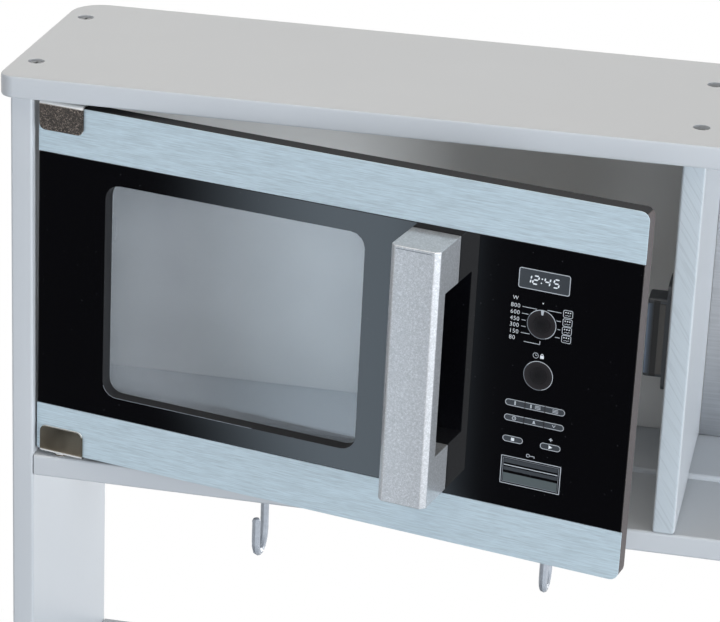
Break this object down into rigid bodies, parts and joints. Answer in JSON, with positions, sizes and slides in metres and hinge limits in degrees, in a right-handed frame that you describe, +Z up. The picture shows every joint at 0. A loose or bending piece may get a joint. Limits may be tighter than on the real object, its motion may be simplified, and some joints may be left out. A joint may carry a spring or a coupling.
{
  "type": "play kitchen",
  "caption": "Free-standing wooden play kitchen with a microwave bay and an open bay on posts over a hob, sink with tap, drop-down oven and cupboard.",
  "frame": {"origin": "middle of the footprint on the floor", "axes": "+Z up, the front faces -Y, +X to the right seen from the front"},
  "size_m": [0.746, 0.3326, 0.94],
  "materials": {
    "grey_lacquer": "satin light-grey lacquer on fibreboard",
    "black_gloss": "gloss",
    "aluminium_strip": "brushed along its length",
    "silver_lacquer": "silver lacquer with fine sparkle",
    "clear_pane": "clear",
    "nickel": "dark nickel plate",
    "catch_plastic": "matt",
    "hook_grey": "satin grey coating",
    "brushed_steel": "brushed",
    "screw_steel": "zinc plate",
    "hob_glass": "gloss, looks like glass",
    "knob_plastic": "satin silver"
  },
  "bodies": {
    "carcase": {"side_panel_left": "grey_lacquer", "side_panel_right": "grey_lacquer", "top_board": "grey_lacquer", "shelf_board": "grey_lacquer", "upper_divider": "grey_lacquer", "upper_back_panel": "grey_lacquer", "worktop": "grey_lacquer", "splash_rail": "grey_lacquer", "lower_divider": "grey_lacquer", "bottom_board": "grey_lacquer", "oven_floor": "grey_lacquer", "plinth": "grey_lacquer", "lower_back_panel": "grey_lacquer", "control_rail": "grey_lacquer", "steel_back_sheet": "brushed_steel", "catch_body": "catch_plastic", "microwave_pin_top": "nickel", "microwave_pin_bottom": "nickel", "oven_pin_left": "nickel", "oven_pin_right": "nickel", "cupboard_pin_top": "nickel", "cupboard_pin_bottom": "nickel", "hook_1": "hook_grey", "hook_2": "hook_grey", "hook_3": "hook_grey", "hook_4": "hook_grey", "sink_basin": "brushed_steel", "sink_strainer": "brushed_steel", "tap_base": "brushed_steel", "hob_plate": "hob_glass", "top_screw_1": "screw_steel", "top_screw_2": "screw_steel", "top_screw_3": "screw_steel", "top_screw_4": "screw_steel", "top_screw_5": "screw_steel", "top_screw_6": "screw_steel"},
    "microwave_leaf": {"microwave_door": "black_gloss", "microwave_strip_top": "aluminium_strip", "microwave_strip_bottom": "aluminium_strip", "microwave_pane": "clear_pane", "microwave_handle": "silver_lacquer", "microwave_clip_top": "nickel", "microwave_clip_bottom": "nickel", "catch_striker": "screw_steel"},
    "oven_leaf": {"oven_door": "black_gloss", "oven_strip_top": "aluminium_strip", "oven_strip_bottom": "aluminium_strip", "oven_pane": "clear_pane", "oven_handle": "silver_lacquer"},
    "cupboard_leaf": {"cupboard_door": "grey_lacquer", "cupboard_handle": "silver_lacquer"},
    "spout": {"tap_spout": "brushed_steel"},
    "lever": {"tap_lever": "brushed_steel"},
    "rack": {"oven_rack": "brushed_steel"},
    "knob_a": {"knob_1": "knob_plastic"},
    "knob_b": {"knob_2": "knob_plastic"},
    "knob_c": {"knob_3": "knob_plastic"},
    "knob_d": {"knob_4": "knob_plastic"}
  },
  "joints": [
    {"name": "microwave_hinge", "type": "hinge", "parent": "carcase", "child": "microwave_leaf", "pos_m": [-0.3405, 0.02875, 0.9258], "axis": [0, 0, 1], "range_deg": [-95, 11.5]},
    {"name": "oven_hinge", "type": "hinge", "parent": "carcase", "child": "oven_leaf", "pos_m": [-0.1805, -0.13225, 0.212], "axis": [1, 0, 0], "range_deg": [0, 90]},
    {"name": "cupboard_hinge", "type": "hinge", "parent": "carcase", "child": "cupboard_leaf", "pos_m": [0.3405, -0.13225, 0.066], "axis": [0, 0, 1], "range_deg": [0, 105]},
    {"name": "tap_spout_turn", "type": "hinge", "parent": "carcase", "child": "spout", "pos_m": [0.1805, 0.08525, 0.5606], "axis": [0, 0, 1], "range_deg": [-100, 100]},
    {"name": "tap_lever_tilt", "type": "hinge", "parent": "carcase", "child": "lever", "pos_m": [0.1975, 0.08525, 0.5433], "axis": [1, 0, 0], "range_deg": [-40, 40]},
    {"name": "rack_slide", "type": "slide", "parent": "carcase", "child": "rack", "axis": [0, -1, 0], "range_m": [0, 0.045]},
    {"name": "knob_a_turn", "type": "hinge", "parent": "carcase", "child": "knob_a", "pos_m": [-0.2975, -0.13775, 0.47985], "axis": [0, 1, 0], "range_deg": [0, 270]},
    {"name": "knob_b_turn", "type": "hinge", "parent": "carcase", "child": "knob_b", "pos_m": [-0.2195, -0.13775, 0.47985], "axis": [0, 1, 0], "range_deg": [0, 270]},
    {"name": "knob_c_turn", "type": "hinge", "parent": "carcase", "child": "knob_c", "pos_m": [-0.1415, -0.13775, 0.47985], "axis": [0, 1, 0], "range_deg": [0, 270]},
    {"name": "knob_d_turn", "type": "hinge", "parent": "carcase", "child": "knob_d", "pos_m": [-0.0635, -0.13775, 0.47985], "axis": [0, 1, 0], "range_deg": [0, 270]}
  ]
}
